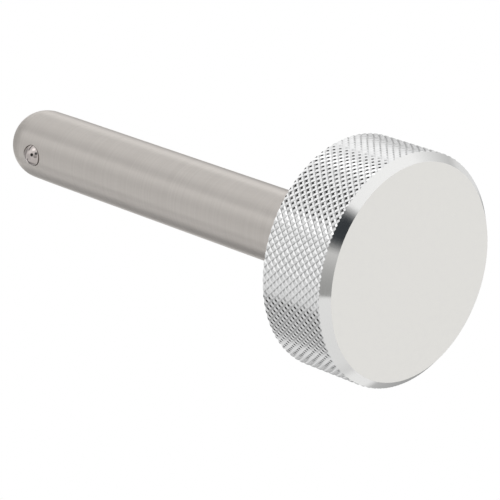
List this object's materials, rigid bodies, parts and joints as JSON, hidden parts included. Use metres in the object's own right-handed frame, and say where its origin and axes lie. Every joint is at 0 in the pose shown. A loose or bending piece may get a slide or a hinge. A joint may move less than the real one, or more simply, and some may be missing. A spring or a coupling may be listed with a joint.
{
  "type": "weight stack pin",
  "caption": "Weight stack selector pin: a diamond-knurled aluminium disc knob on a round-nosed steel shaft with a sprung detent ball near the nose.",
  "frame": {"origin": "centre of the knob's flat face, which the pin stands on", "axes": "+Z runs along the shaft from the knob's face to the tip of the nose; the detent ball looks towards -Y"},
  "size_m": [0.04, 0.04, 0.097],
  "materials": {
    "knob_aluminium": "satin clear anodised, machined knurl",
    "shaft_steel": "fine turned and polished along the round",
    "ball_steel": "polished",
    "spring_steel": "bright drawn wire"
  },
  "bodies": {
    "pin": {"knurled_knob": "knob_aluminium", "pin_shaft": "shaft_steel", "detent_spring": "spring_steel"},
    "ball": {"detent_ball": "ball_steel"}
  },
  "joints": [
    {"name": "ball_press", "type": "slide", "parent": "pin", "child": "ball", "axis": [0, 1, 0], "range_m": [0, 0.00105], "stiffness_N_per_m": 1900, "springref_m": -0.0025, "deforming": ["detent_spring"]}
  ]
}
